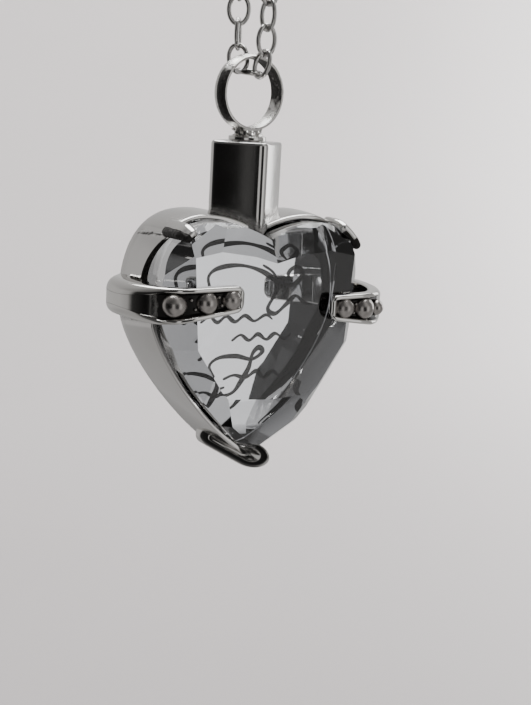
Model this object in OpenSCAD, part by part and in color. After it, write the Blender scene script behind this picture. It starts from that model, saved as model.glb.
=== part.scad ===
// Heart keepsake urn pendant: a faceted crystal heart in a steel setting, a square ash barrel
// closed by a screw plug with a bail ring, and the cable chain that it hangs from.
// Millimetres. +Z is up, +Y is the pendant's back, and the origin is where the chain hangs.

/* [Crystal heart] */
// Half of the crystal's width at its girdle
crystal_half_w = 11; // [9.5:0.1:12.5]
// Height of the widest point above the tip
crystal_flank_h = 15.9; // [14:0.1:18]
// Height of the lobes' control line above the widest point
crystal_lobe_h = 11.3; // [10:0.1:12.5]
// Height of the cleft above the widest point
crystal_cleft_h = 6.3; // [5.5:0.1:7]
// Height of the crown, from girdle to table
crown_h = 2.8; // [2.2:0.1:3.4]
// Depth of the upright band behind the girdle
girdle_band = 1.3; // [0.8:0.1:2]
// Depth of the whole crystal, from table to back
crystal_depth = 9.6; // [8.6:0.1:10.6]
// How much the crystal's side draws in towards its back
pavilion_draw = 1.2; // [0.6:0.1:1.8]

/* [Heart cup] */
// Gap between the crystal and the metal round it
seat_gap = 0.08; // [0.05:0.01:0.2]
// Thickness of the cup's wall at its front lip
lip_wall = 0.45; // [0.35:0.05:0.8]
// Thickness of the cup's wall at its back
back_wall = 1.3; // [1.1:0.05:1.8]
// Thickness of the cup's floor
floor_t = 0.9; // [0.7:0.1:1.3]
// Radius of the cup's back edge
back_edge = 0.3; // [0.15:0.05:0.5]
// How much lower the cup's lobes and sides sit at its back than at its front
back_drop = 0.65; // [0.2:0.05:0.9]
// Setback of the lip behind the crystal's girdle
lip_setback = 1.7; // [1.2:0.1:2.2]
// Depth of the window cut into the wall between upper claw and arm
window_d = 1.8; // [1:0.1:2.4]
// Height of the window's upper end above the widest point
window_top_h = 6.2; // [5.4:0.1:6.8]

/* [Arms] */
// Height of an arm at its shoulder
arm_base_h = 3.6; // [3.2:0.1:4.4]
// Height of an arm at its tip
arm_tip_h = 2.5; // [2:0.1:2.8]
// Thickness of an arm where it lies over the crystal
arm_t = 1.15; // [0.9:0.05:1.4]
// Gap between an arm and the crystal's table
arm_gap = 0.22; // [0.12:0.02:0.4]
// How far an arm's shoulder stands out beyond the girdle
arm_bulge = 3.85; // [3.2:0.05:4.4]
// Height of the left arm's shoulder above the widest point
arm_left_z = 0.3; // [-0.4:0.05:0.8]
// Height of the right arm's shoulder above the widest point
arm_right_z = -0.55; // [-0.8:0.05:0.4]
// Rise of the left arm's tip above its shoulder
arm_left_rise = 0.75; // [0:0.05:1]
// Rise of the right arm's tip above its shoulder
arm_right_rise = 0.35; // [-0.6:0.05:0.6]
// Distance of the left arm's tip from the middle
arm_left_reach = 4; // [3:0.1:5]
// Distance of the right arm's tip from the middle
arm_right_reach = 5.6; // [4.4:0.1:6.2]
// Width of the raised rim along an arm's edges
arm_rim = 0.4; // [0.3:0.02:0.55]
// Depth of the channel between the rims
channel_d = 0.5; // [0.3:0.05:0.7]
// How far a bead stands out in front of the rims
bead_proud = 0.25; // [0.1:0.05:0.5]

/* [Claws] */
// Radius of an upper claw's rounded edges, half its thickness
claw_r = 0.44; // [0.36:0.02:0.55]
// How far an upper claw reaches in over the crystal's outline
claw_over = 0.3; // [0.2:0.05:0.4]
// How far an upper claw's bend stands in front of the crystal's girdle
claw_bend = 1.05; // [0.95:0.05:1.2]
// How far an upper claw's tip stands in front of the crystal's girdle
claw_reach = 2; // [1.9:0.05:2.3]
// Radius of the tip claw's round end under the heart's tip
tip_claw_r = 1.4; // [1.2:0.1:1.6]
// Radius of the tip claw's left end
tip_claw_left_r = 1.1; // [0.9:0.1:1.3]
// Distance across between the tip claw's two ends
tip_claw_run = 2.5; // [2.2:0.1:2.9]
// How much higher the tip claw's left end sits
tip_claw_rise = 1.05; // [0.8:0.05:1.3]
// How far the tip claw sits to the left of the middle
tip_claw_shift = 0.3; // [0.1:0.1:0.6]
// Thickness of the tip claw's rim
tip_claw_t = 0.7; // [0.5:0.05:0.8]
// Setback of the tip claw's front behind the crystal's table
tip_claw_set = 1.2; // [1:0.1:1.6]

/* [Barrel] */
// Side of the square ash barrel
barrel_side = 6; // [5.4:0.05:6.4]
// Radius of the barrel's upright edges
barrel_edge_r = 0.8; // [0.5:0.05:1]
// Height of the rounded edge round the barrel's top
barrel_brow = 0.4; // [0.2:0.05:0.6]
// Height of the barrel's top above the crystal's widest point
barrel_top_h = 15.55; // [14.5:0.05:17]
// Diameter of the ash chamber, which takes the plug's shank
chamber_d = 3.6; // [3:0.05:4]
// Depth of the ash chamber
chamber_depth = 7.4; // [6.4:0.1:8]

/* [Screw plug and bail ring] */
// Outer diameter of the bail ring
ring_d = 7.7; // [7.2:0.05:8.4]
// Radial thickness of the ring's band
ring_t = 0.48; // [0.4:0.02:0.7]
// Width of the ring's band
ring_w = 1.85; // [1.5:0.05:2.1]
// Angle by which the ring is turned from the heart's front
ring_turn = 9; // [0:1:12]
// Diameter of the plug's head disc
head_d = 3.8; // [3.4:0.1:4.4]
// Thickness of the plug's head disc
head_t = 0.45; // [0.35:0.05:0.7]
// Height of the soldered neck between disc and ring
neck_h = 0.65; // [0.5:0.05:1]
// Diameter of the neck
neck_d = 2.4; // [1.8:0.1:2.6]
// Length of the screwed shank
shank_l = 4.6; // [3.6:0.1:5.4]
// Radial clearance between the shank's crests and the chamber
thread_gap = 0.06; // [0.04:0.01:0.1]
// Depth of the thread
thread_depth = 0.25; // [0.15:0.01:0.35]
// Pitch of the thread
thread_pitch = 0.6; // [0.5:0.05:0.8]

/* [Chain and clasp] */
// Outer width of the cable chain
chain_w = 2.4; // [2.2:0.05:2.6]
// Distance of each strand from the ring's middle plane
strand_off = 2.35; // [2.3:0.05:3]
// Half width of the loop at its top, over its hook
loop_half_w = 8; // [7:0.5:10]
// Height of the hanging loop, from ring to hook
loop_h = 220; // [200:5:245]
// Outer diameter of the clasp's ring
clasp_d = 6; // [5:0.5:7]
// Wire diameter of the clasp's ring
clasp_wire = 1.4; // [1.2:0.1:1.8]
// Height of the clasp's middle below the loop's top
clasp_drop = 24; // [20:1:40]
// Gap between a chain end and the clasp
clasp_gap = 0.2; // [0.1:0.05:0.3]
// Gap between the chain and the ring that hangs on it
hang_gap = 0.45; // [0.4:0.05:0.7]

/* [Hidden] */
$fn = 48;

// Heights in the pendant's own frame: x = 0 is the middle
wide_z = -3.3;
tip_z = wide_z - crystal_flank_h;
cleft_z = wide_z + crystal_cleft_h;
lobe_z = wide_z + crystal_lobe_h;

// Depths: the table is the frontmost face of the crystal
girdle_y = 1.3;
table_y = girdle_y - crown_h;
back_y = table_y + crystal_depth;
lip_y = girdle_y + lip_setback;
floor_y = back_y + seat_gap;
cup_back_y = floor_y + floor_t;
front_y = table_y - arm_gap - arm_t;

// The barrel stands on its corner over the cleft, and the plug and ring share its axis
axis_y = 6.2;
barrel_top = wide_z + barrel_top_h;
barrel_foot = cleft_z - 0.4;
seat_gap_z = 0.06;
seat_z = barrel_top + seat_gap_z;
ring_r = ring_d / 2;
ring_z = seat_z + head_t + neck_h + ring_r - ring_t / 2;

// The chain turns under the ring's top, and the pendant swings about that turn
pivot_z = ring_z + ring_r - ring_t - hang_gap - chain_w / 2;
loop_top = pivot_z + loop_h;
turn_n = 10;
strand_n = 24;
chain_sides = 8;

// Points in each of the two curves that make one side of a heart outline
seg = 20;
// The crystal's own outline has fewer, so that its sides are clean strips between facets
stone_seg = 10;
// Places along a lobe's curve that an upper claw spans
claw_stops = [0.61, 0.665, 0.72];
// A length well beyond every piece, for cutting tools
far = 60;

// Each heart outline is two curves a side, and off moves it outwards
function mix3(a, b, c, d, t) =
    pow(1 - t, 3) * a + 3 * pow(1 - t, 2) * t * b + 3 * (1 - t) * t * t * c + t * t * t * d;
function lobe_point(off, t) =
    mix3([0, cleft_z + 1.15 * off],
         [0.2 * crystal_half_w, cleft_z + 1.4 + off],
         [crystal_half_w + off, lobe_z + off],
         [crystal_half_w + off, wide_z], t);
function lobe_pts(off, n) = [for (i = [0 : n - 1]) lobe_point(off, i / n)];
function flank_pts(off, n) = [
    for (i = [0 : n])
        mix3([crystal_half_w + off, wide_z],
             [crystal_half_w + off, wide_z - 0.31 * crystal_flank_h],
             [0.45 * crystal_half_w + 0.5 * off, tip_z + 0.2 * crystal_flank_h - 0.8 * off],
             [0, tip_z - 1.35 * off], i / n)];
function half_heart(off, n) = concat(lobe_pts(off, n), flank_pts(off, n));
function heart(off, n = seg) = let (h = half_heart(off, n), m = len(h))
    concat(h, [for (i = [m - 2 : -1 : 1]) [-h[i].x, h[i].y]]);

// A heart outline at a depth, lowered by a drop that fades out from the widest point to the tip
function ring_at(pts, y, drop = 0) = [for (p = pts)
    [p.x, y, p.y - drop * min(1, (p.y - tip_z) / crystal_flank_h)]];

// A skin over rings with the same number of points, closed at both ends
module skin(rings) {
    n = len(rings[0]);
    m = len(rings);
    pts = [for (r = rings) each r];
    sides = [for (k = [0 : m - 2]) for (i = [0 : n - 1])
        let (j = (i + 1) % n) each [
            [k * n + i, k * n + j, (k + 1) * n + j],
            [k * n + i, (k + 1) * n + j, (k + 1) * n + i]]];
    first = [[for (i = [n - 1 : -1 : 0]) i]];
    last = [[for (i = [0 : n - 1]) (m - 1) * n + i]];
    polyhedron(points = pts, faces = concat(sides, first, last), convexity = 8);
}

// A flat outline in x and z made solid from depth y0 to y1
module slab(y0, y1) {
    translate([0, y1, 0])
        rotate([90, 0, 0])
            linear_extrude(height = y1 - y0, convexity = 8)
                children();
}

// Crown facets of one side. Each passes through a point of the table's plane, faces a direction
// and runs out by so much on its way back to the girdle
// columns: x as a share of the half width, z as a share of the lobe's or flank's height,
// direction, run as a share of the crown's height
crown_facets = [
    [0.19, 0.425, 106, 1.44],
    [0.55, 0.478, 98, 1.5],
    [0.38, 0.566, 93, 0.71],
    [0.578, 0.553, 70, 0.71],
    [0.55, 0.478, 79, 1.25],
    [0.82, 0.43, 38, 0.72],
    [0.804, 0.45, 20, 0.4],
    [0.8, 0.4, -4, 0.78],
    [0.79, -0.252, -18, 0.6],
    [0.755, -0.245, -33, 0.72],
    [0.6, -0.447, -43.5, 0.9],
    [0.5, -0.638, -60, 0.62],
    [0, -0.594, -86, 2.25]];

module crown_cut(f) {
    height = f[1] > 0 ? crystal_lobe_h : crystal_flank_h;
    translate([f[0] * crystal_half_w, table_y, wide_z + f[1] * height])
        rotate([0, -f[2], 0])
            rotate([0, 0, -atan(f[3])])
                translate([0, -far / 2, -far / 2])
                    cube(far);
}

// What the facets of the right side take off, kept to that side
module crown_cuts() {
    intersection() {
        union() {
            for (f = crown_facets)
                crown_cut(f);
        }
        translate([0, -far / 2, -far / 2])
            cube(far);
    }
}

module crystal_heart() {
    color([0.86, 0.89, 0.92, 0.5])
        difference() {
            skin([
                ring_at(heart(-pavilion_draw, stone_seg), back_y),
                ring_at(heart(0, stone_seg), girdle_y + girdle_band),
                ring_at(heart(0, stone_seg), table_y)]);
            crown_cuts();
            mirror([1, 0, 0])
                crown_cuts();
        }
}

// The cup: outer wall drawn in towards its lip, and a pocket that follows the crystal's side
module cup() {
    lip_off = seat_gap + lip_wall;
    back_off = seat_gap + back_wall;
    mid_off = lip_off + 0.65 * (back_wall - lip_wall);
    mid_y = (lip_y + cup_back_y) / 2;
    difference() {
        skin([
            ring_at(heart(back_off - back_edge), cup_back_y, back_drop),
            ring_at(heart(back_off), cup_back_y - back_edge, back_drop),
            ring_at(heart(mid_off), mid_y, back_drop / 2),
            ring_at(heart(lip_off), lip_y),
            ring_at(heart(seat_gap), lip_y),
            ring_at(heart(seat_gap - pavilion_draw), floor_y)]);
        for (s = [0, 1])
            mirror([s, 0, 0])
                window();
    }
}

// The wall's front edge dips in a curve between claw and arm
module window() {
    hidden = 0.5;
    z0 = wide_z + arm_base_h / 2 - hidden;
    z1 = wide_z + window_top_h;
    front = lip_y - 1;
    edge = [for (i = [0 : 8]) let (t = i / 8)
        [lip_y + window_d * (1 - pow(t, 2.2)), z0 + (z1 - z0) * t]];
    translate([0.7 * crystal_half_w, 0, 0])
        rotate([90, 0, 90])
            linear_extrude(height = crystal_half_w)
                polygon(concat([[front, z0]], edge, [[front, z1]]));
}

// Path of an arm's outer face seen from above, from inside the cup's wall round the shoulder:
// distance beyond the girdle's half width as a share of the bulge, depth, thickness, edge radius
// and depth of the channel as a share
// columns: beyond, depth, thickness, edge, channel
arm_path = [
    [0.5, 8.2, 1.3, 0.5, 0],
    [0.8, 7.2, 1.8, 0.9, 0],
    [0.97, 6.1, 2.1, 1.1, 0],
    [1, 4.8, 2.15, 1.2, 0],
    [0.96, 3.3, 2, 1.2, 0],
    [0.85, 1.9, 1.8, 1.1, 0],
    [0.69, 0.6, 1.6, 0.9, 0],
    [0.52, -0.4, 1.4, 0.7, 0.5],
    [0.32, -1.35, 1.25, 0.45, 1],
    [0.08, -2.15, 1.15, 0.25, 1]];

// The straight front part runs from the arm's corner to near its tip, which rounds off in three steps
// columns: distance from the tip, setback, thinning, edge, channel
arm_end = [
    [0.75, 0, 0, 0.25, 0.7],
    [0.3, 0.08, 0.08, 0.3, 0],
    [0, 0.3, 0.4, 0.3, 0]];
corner_in = 0.4;
front_in = 1.3;
front_edge = 0.2;
function arm_stations(reach) = let (x0 = crystal_half_w - front_in, x1 = reach + front_in, n = 6) concat(
    [for (p = arm_path) [crystal_half_w + p[0] * arm_bulge, p[1], p[2], p[3], p[4]]],
    [[crystal_half_w - corner_in, front_y + 0.25, arm_t, front_edge, 1],
     [x0, front_y + 0.06, arm_t, front_edge, 1]],
    [for (i = [1 : n]) [x0 + (x1 - x0) * i / n, front_y, arm_t, front_edge, 1]],
    [for (p = arm_end) [reach + p[0], front_y + p[1], arm_t - p[2], p[3], p[4]]]);

// Middle height and height of an arm at a distance x from the middle
function arm_share(x, reach) = max(0, min(1, (x - reach) / (crystal_half_w + 1.6 - reach)));
function arm_mid(x, reach, z, rise) = wide_z + z + rise * (1 - arm_share(x, reach));
function arm_high(x, reach) = let (s = arm_share(x, reach), d = x - reach)
    (arm_tip_h + (arm_base_h - arm_tip_h) * s) * (d < 0.1 ? 0.55 : d < 0.5 ? 0.87 : 1);

// One cross-section of an arm: u runs outwards along the path's normal and v is height
function arm_ring(st, n, mid, h) = let (
        t = st[2], e = st[3], c = st[4] * channel_d, a = h / 2, k = a - max(e, arm_rim),
        o = [st[0], st[1]] - n * t)
    [for (q = [
        [0.1, a], [t - e, a], [t - 0.3 * e, a - 0.3 * e], [t, a - e], [t, k], [t - c, k - 0.35 * c],
        [t - c, 0.35 * c - k], [t, -k], [t, e - a], [t - 0.3 * e, 0.3 * e - a], [t - e, -a],
        [0.1, -a], [0, 0.1 - a], [0, a - 0.1]])
        [o.x + n.x * q[0], o.y + n.y * q[0], mid + q[1]]];

// The beads lie along the channel: distance from the arm's tip, radius
// columns: distance, radius
beads_left = [[1.3, 1.1], [3.85, 1.25], [6.85, 1.28]];
beads_right = [[1.9, 1.15], [4.2, 1.2], [6.1, 0.85]];

module arm(reach, z, rise, beads) {
    st = arm_stations(reach);
    m = len(st);
    sunk = 0.1;
    corner_depth = 0.9;
    lean = 0.55;
    skin([for (i = [0 : m - 1])
        let (a = st[max(i - 1, 0)], b = st[min(i + 1, m - 1)],
             d = [b[0] - a[0], b[1] - a[1]] / norm([b[0] - a[0], b[1] - a[1]]))
        arm_ring(st[i], [-d.y, d.x], arm_mid(st[i][0], reach, z, rise), arm_high(st[i][0], reach))]);
    intersection() {
        for (b = beads)
            let (x = reach + b[0], over = max(0, x - crystal_half_w + corner_depth))
                translate([x, front_y + b[1] - bead_proud + lean * over, arm_mid(x, reach, z, rise)])
                    sphere(r = b[1]);
        union() {
            translate([0, front_y - bead_proud, wide_z - arm_base_h])
                cube([far, bead_proud + arm_t - sunk, 2 * arm_base_h]);
            translate([crystal_half_w - corner_in, front_y - bead_proud, wide_z - arm_base_h])
                cube([far, bead_proud + arm_t + corner_depth, 2 * arm_base_h]);
        }
    }
}

// An upper claw is a rounded tab bent from the wall's front edge in over the crystal's shoulder
module upper_claw() {
    out = seat_gap + 0.05 + claw_r;
    root = 0.4;
    hull() {
        claw_row(out, lip_y + root);
        claw_row(out, girdle_y - claw_bend);
    }
    hull() {
        claw_row(out, girdle_y - claw_bend);
        claw_row(claw_r - claw_over, girdle_y - claw_reach);
    }
}

module claw_row(off, y) {
    for (s = claw_stops)
        let (p = lobe_point(off, s))
            translate([p.x, y, p.y])
                sphere(r = claw_r, $fn = 24);
}

// The tip claw is a boat-shaped scoop soldered under the cup's tip, cut off aslant at its front and
// hollow before the cup's lip
module tip_claw() {
    y0 = table_y + tip_claw_set;
    y1 = cup_back_y - 1.6;
    left_end = 1.3;
    right = tip_claw_r - tip_claw_shift;
    left = tip_claw_left_r + tip_claw_run + tip_claw_shift;
    difference() {
        slab(y0, y1)
            boat(0);
        slab(y0 - 1, lip_y)
            boat(-tip_claw_t);
        translate([0, 0, tip_z - far / 2])
            linear_extrude(height = far)
                polygon([[right, y0 - 1], [right, y0], [-left, y1 - left_end], [-left - 1, y1 - left_end],
                         [-left - 1, y0 - 1]]);
        skin([
            ring_at(heart(seat_gap - pavilion_draw), floor_y),
            ring_at(heart(seat_gap), lip_y),
            ring_at(heart(seat_gap), y0 - 1)]);
    }
}

// Outline of the tip claw seen from the front, a little below the crystal's tip
module boat(grow) {
    low = tip_z - 0.1;
    hull() {
        translate([-tip_claw_shift, low])
            circle(r = tip_claw_r + grow);
        translate([-tip_claw_shift - tip_claw_run, low + tip_claw_rise])
            circle(r = tip_claw_left_r + grow);
    }
}

// The square barrel, with round upright edges and a rounded brow
module barrel_outline() {
    r = barrel_edge_r;
    s = barrel_side - 2 * r;
    square([s, barrel_side], center = true);
    square([barrel_side, s], center = true);
    for (x = [-s / 2, s / 2]) for (y = [-s / 2, s / 2])
        translate([x, y])
            circle(r = r, $fn = 32);
}

// Its brow is two steps, the lower one taller
module barrel() {
    brow_z = barrel_top - barrel_brow;
    step_h = 0.6 * barrel_brow;
    step_in = 1 - 0.5 * barrel_brow / barrel_side;
    translate([0, axis_y, 0])
        rotate([0, 0, 45]) {
            translate([0, 0, barrel_foot])
                linear_extrude(height = brow_z - barrel_foot)
                    barrel_outline();
            translate([0, 0, brow_z])
                linear_extrude(height = step_h, scale = step_in)
                    barrel_outline();
            translate([0, 0, brow_z + step_h])
                linear_extrude(height = barrel_brow - step_h, scale = 1 - barrel_brow / barrel_side)
                    scale(step_in)
                        barrel_outline();
        }
}

module heart_setting() {
    color([0.75, 0.74, 0.72])
        difference() {
            union() {
                cup();
                difference() {
                    barrel();
                    slab(-far / 2, floor_y)
                        polygon(heart(seat_gap));
                }
                mirror([1, 0, 0])
                    arm(arm_left_reach, arm_left_z, arm_left_rise, beads_left);
                arm(arm_right_reach, arm_right_z, arm_right_rise, beads_right);
                for (s = [0, 1])
                    mirror([s, 0, 0])
                        upper_claw();
                tip_claw();
            }
            translate([0, axis_y, barrel_top - chamber_depth])
                cylinder(d = chamber_d, h = chamber_depth + 1);
        }
}

// The plug: bail ring, soldered neck, head disc and a shank with thread ridges
module bail_plug() {
    crest = chamber_d / 2 - thread_gap;
    root = crest - thread_depth;
    turns = floor((shank_l - 0.6) / thread_pitch);
    top = seat_z - 0.3;
    color([0.73, 0.72, 0.7])
        translate([0, axis_y, 0])
            rotate([0, 0, ring_turn]) {
                difference() {
                    translate([0, 0, ring_z])
                        rotate([90, 0, 0])
                            cylinder(d = ring_d, h = ring_w, center = true, $fn = 96);
                    translate([0, 0, ring_z])
                        rotate([90, 0, 0])
                            cylinder(d = ring_d - 2 * ring_t, h = ring_w + 1, center = true, $fn = 96);
                }
                difference() {
                    rotate_extrude()
                        polygon(concat(
                            [[0, seat_z - shank_l], [root, seat_z - shank_l]],
                            [for (i = [0 : turns - 1]) each [
                                [root, top - (turns - i) * thread_pitch],
                                [crest, top - (turns - i - 0.4) * thread_pitch],
                                [crest, top - (turns - i - 0.6) * thread_pitch]]],
                            [[root, top], [root, seat_z], [head_d / 2, seat_z],
                             [head_d / 2, seat_z + head_t], [neck_d / 2 + 0.15, seat_z + head_t],
                             [neck_d / 2, seat_z + head_t + 0.3],
                             [neck_d / 2 + 0.25, seat_z + head_t + neck_h + 0.15],
                             [0, seat_z + head_t + neck_h + 0.15]]));
                    translate([0, 0, ring_z])
                        rotate([90, 0, 0])
                            cylinder(d = ring_d - 2 * ring_t, h = ring_w + 1, center = true, $fn = 96);
                }
            }
}

// The chain's route: up from the clasp, over the hook, down, under the ring's top and back up
function half_off(h) = strand_off + (loop_half_w - strand_off) * h;
function strand_z(h) = pivot_z + strand_off + (loop_h - strand_off - loop_half_w) * h;
clasp_h = 1 - (clasp_drop - loop_half_w) / (loop_h - strand_off - loop_half_w);
clasp_y = half_off(clasp_h);
clasp_z = strand_z(clasp_h);
cut_h = (clasp_d / 2 + clasp_gap) / (loop_h - strand_off - loop_half_w);
route = concat(
    [for (i = [0 : 2]) let (h = clasp_h + cut_h + (1 - clasp_h - cut_h) * i / 3)
        [half_off(h), strand_z(h)]],
    [for (i = [0 : turn_n]) let (a = 180 * i / turn_n)
        [loop_half_w * cos(a), loop_top - loop_half_w + loop_half_w * sin(a)]],
    [for (i = [1 : strand_n - 1]) let (h = 1 - i / strand_n)
        [-half_off(h), strand_z(h)]],
    [for (i = [0 : turn_n]) let (a = 180 + 180 * i / turn_n)
        [strand_off * cos(a), pivot_z + strand_off + strand_off * sin(a)]],
    [for (i = [1 : strand_n]) let (h = (clasp_h - cut_h) * i / strand_n)
        [half_off(h), strand_z(h)]]);

module chain() {
    n = len(route);
    rings = [for (i = [0 : n - 1])
        let (a = route[max(i - 1, 0)], b = route[min(i + 1, n - 1)], d = (b - a) / norm(b - a))
        [for (k = [0 : chain_sides - 1]) let (q = 360 * k / chain_sides)
            [chain_w / 2 * cos(q), route[i].x + chain_w / 2 * sin(q) * -d.y,
             route[i].y + chain_w / 2 * sin(q) * d.x]]];
    color([0.72, 0.72, 0.73])
        translate([0, axis_y, 0])
            rotate([0, 0, ring_turn])
                skin(rings);
}

module clasp() {
    color([0.72, 0.72, 0.73])
        translate([0, axis_y, 0])
            rotate([0, 0, ring_turn])
                translate([0, clasp_y, clasp_z])
                    rotate([0, 90, 0])
                        rotate_extrude()
                            translate([(clasp_d - clasp_wire) / 2, 0])
                                circle(d = clasp_wire, $fn = 24);
}

// The pendant's frame hangs below the origin by the loop's top
module hung() {
    translate([0, -axis_y, -loop_top])
        children();
}

hung() chain();
hung() clasp();
hung() bail_plug();
hung() heart_setting();
hung() crystal_heart();
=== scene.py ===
import math

import bmesh
import bpy
from mathutils import Matrix, Vector


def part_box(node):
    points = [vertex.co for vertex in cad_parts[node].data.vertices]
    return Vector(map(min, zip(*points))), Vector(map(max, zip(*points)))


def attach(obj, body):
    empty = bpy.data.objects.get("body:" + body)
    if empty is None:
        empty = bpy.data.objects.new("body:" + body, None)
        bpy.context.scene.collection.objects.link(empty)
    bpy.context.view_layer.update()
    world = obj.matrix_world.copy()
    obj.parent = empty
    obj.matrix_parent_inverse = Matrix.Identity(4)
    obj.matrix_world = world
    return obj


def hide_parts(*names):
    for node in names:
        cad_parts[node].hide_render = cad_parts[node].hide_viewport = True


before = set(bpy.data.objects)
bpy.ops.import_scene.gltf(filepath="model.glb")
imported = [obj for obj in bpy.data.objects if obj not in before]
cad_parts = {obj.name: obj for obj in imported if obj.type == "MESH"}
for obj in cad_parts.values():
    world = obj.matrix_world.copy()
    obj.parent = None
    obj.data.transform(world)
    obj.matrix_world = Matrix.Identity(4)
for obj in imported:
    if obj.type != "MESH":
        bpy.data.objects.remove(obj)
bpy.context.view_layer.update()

# Crystal heart. One piece of clear cut glass: a flat table in front, a crown of facets round it,
# and a plain heart-shaped side that draws in a little towards the flat back, ground and polished.

# Millimetres of the real pendant seen from the front: x to the right, y backwards and z up
MM = 0.001
HALF_W = 11.0
WIDE_Z = -3.3
FLANK_H = 15.9
LOBE_H = 11.3
CLEFT_H = 6.3
CROWN_H = 2.8
GIRDLE_Y = 1.3
GIRDLE_BAND = 1.3
DEPTH = 9.6
BACK_DRAW = 1.2
TABLE_Y = GIRDLE_Y - CROWN_H
BACK_Y = TABLE_Y + DEPTH
TIP_Z = WIDE_Z - FLANK_H
CLEFT_Z = WIDE_Z + CLEFT_H
LOBE_Z = WIDE_Z + LOBE_H
# How far the outline's curves pull at cleft, side and tip, as shares of the half width or the
# flank's height but for the lift, and how far its two points move as it is offset
CLEFT_PULL = 0.2
CLEFT_LIFT = 1.4
SIDE_PULL = 0.31
TIP_PULL = (0.45, 0.2)
CLEFT_MITRE = 1.15
TIP_MITRE = 1.35

# Crown facets of the right side: where each crosses the table's plane, as shares of the half
# width and of the lobe's or flank's height, which way it faces and how far it runs out
CROWN = [
    (0.19, 0.425, 106, 1.44),
    (0.55, 0.478, 98, 1.5),
    (0.38, 0.566, 93, 0.71),
    (0.578, 0.553, 70, 0.71),
    (0.55, 0.478, 79, 1.25),
    (0.82, 0.43, 38, 0.72),
    (0.804, 0.45, 20, 0.4),
    (0.8, 0.4, -4, 0.78),
    (0.79, -0.252, -18, 0.6),
    (0.755, -0.245, -33, 0.72),
    (0.6, -0.447, -43.5, 0.9),
    (0.5, -0.638, -60, 0.62),
    (0.0, -0.594, -86, 2.25),
]

stone_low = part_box("crystal_heart")[0]
home = Vector((0, stone_low[1] - TABLE_Y * MM, stone_low[2] - TIP_Z * MM))


def at(x, y, z):
    """A point of the pendant's own frame, in millimetres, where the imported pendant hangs."""
    return Vector((x, y, z)) * MM + home


def bezier(a, b, c, d, t):
    s = 1 - t
    return tuple(s**3 * a[k] + 3 * s * s * t * b[k] + 3 * s * t * t * c[k] + t**3 * d[k] for k in (0, 1))


def lobe_point(off, t):
    """A point of the outline's upper curve, from the cleft to the widest place, moved out by an offset."""
    return bezier(
        (0, CLEFT_Z + CLEFT_MITRE * off),
        (CLEFT_PULL * HALF_W, CLEFT_Z + CLEFT_LIFT + off),
        (HALF_W + off, LOBE_Z + off),
        (HALF_W + off, WIDE_Z), t)


def flank_point(off, t):
    """A point of its lower curve, from the widest place to the tip."""
    return bezier(
        (HALF_W + off, WIDE_Z),
        (HALF_W + off, WIDE_Z - SIDE_PULL * FLANK_H),
        (TIP_PULL[0] * HALF_W + 0.5 * off, TIP_Z + TIP_PULL[1] * FLANK_H - 0.8 * off),
        (0, TIP_Z - TIP_MITRE * off), t)


def heart_at(i, off, n):
    """One point of a whole outline of 4 n points, from the cleft round the right side first."""
    j = i if i <= 2 * n else 4 * n - i
    x, z = lobe_point(off, j / n) if j < n else flank_point(off, j / n - 1)
    return (x, z) if i <= 2 * n else (-x, z)


def half_heart(off, n):
    return [lobe_point(off, i / n) for i in range(n)] + [flank_point(off, i / n) for i in range(n + 1)]


def new_piece(name, bm, material, sharp=30.0, smooth=True):
    """Keeps a bmesh in metres as one object, with hard edges only where it folds sharply."""
    bmesh.ops.recalc_face_normals(bm, faces=bm.faces)
    mesh = bpy.data.meshes.new(name)
    bm.to_mesh(mesh)
    bm.free()
    for face in mesh.polygons:
        face.use_smooth = smooth
    if smooth:
        mesh.set_sharp_from_angle(angle=math.radians(sharp))
    piece = bpy.data.objects.new(name, mesh)
    bpy.context.scene.collection.objects.link(piece)
    mesh.materials.append(material)
    return piece


def skin(bm, rings, hoop=False):
    """Joins rings with the same number of points, and caps the two ends or joins them to a hoop."""
    loops = [[bm.verts.new(p) for p in ring] for ring in rings]
    count = len(loops[0])
    for a, b in zip(loops, loops[1:] + loops[:1] if hoop else loops[1:]):
        for i in range(count):
            j = (i + 1) % count
            bm.faces.new((a[i], a[j], b[j], b[i]))
    if not hoop:
        bm.faces.new(list(reversed(loops[0])))
        bm.faces.new(loops[-1])
    return loops


def tree_of(name):
    """A new material with its tree of nodes and its shader."""
    material = bpy.data.materials.new(name)
    material.use_nodes = True
    return material, material.node_tree, material.node_tree.nodes["Principled BSDF"]


def add(tree, kind, sockets=(), **settings):
    """Adds a node with its settings. Each socket named gets a value, or a link from an output."""
    node = tree.nodes.new(kind)
    for name, value in settings.items():
        setattr(node, name, value)
    for name, value in dict(sockets).items():
        if isinstance(value, bpy.types.NodeSocket):
            tree.links.new(value, node.inputs[name])
        else:
            node.inputs[name].default_value = value
    return node


def noise(tree, scale, detail=2.0):
    """A noise that stays with the piece."""
    place = add(tree, "ShaderNodeTexCoord").outputs["Object"]
    return add(tree, "ShaderNodeTexNoise", {"Vector": place, "Scale": scale, "Detail": detail}).outputs["Fac"]


def ranged(tree, value, low, high, to_low=0.0, to_high=1.0, **settings):
    """A value between low and high taken over to another range, and kept within it."""
    sockets = {"Value": value, "From Min": low, "From Max": high, "To Min": to_low, "To Max": to_high}
    return add(tree, "ShaderNodeMapRange", sockets, **settings).outputs["Result"]


def cut_glass():
    material, tree, shader = tree_of("clear_crystal")
    shader.inputs["Base Color"].default_value = (0.985, 0.99, 1.0, 1)
    shader.inputs["Transmission Weight"].default_value = 1.0
    shader.inputs["IOR"].default_value = 1.52
    haze = ranged(tree, noise(tree, 160), 0.55, 0.8, 0.0, 0.03)
    tree.links.new(haze, shader.inputs["Roughness"])
    return material


STONE_STEPS = 48
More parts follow.
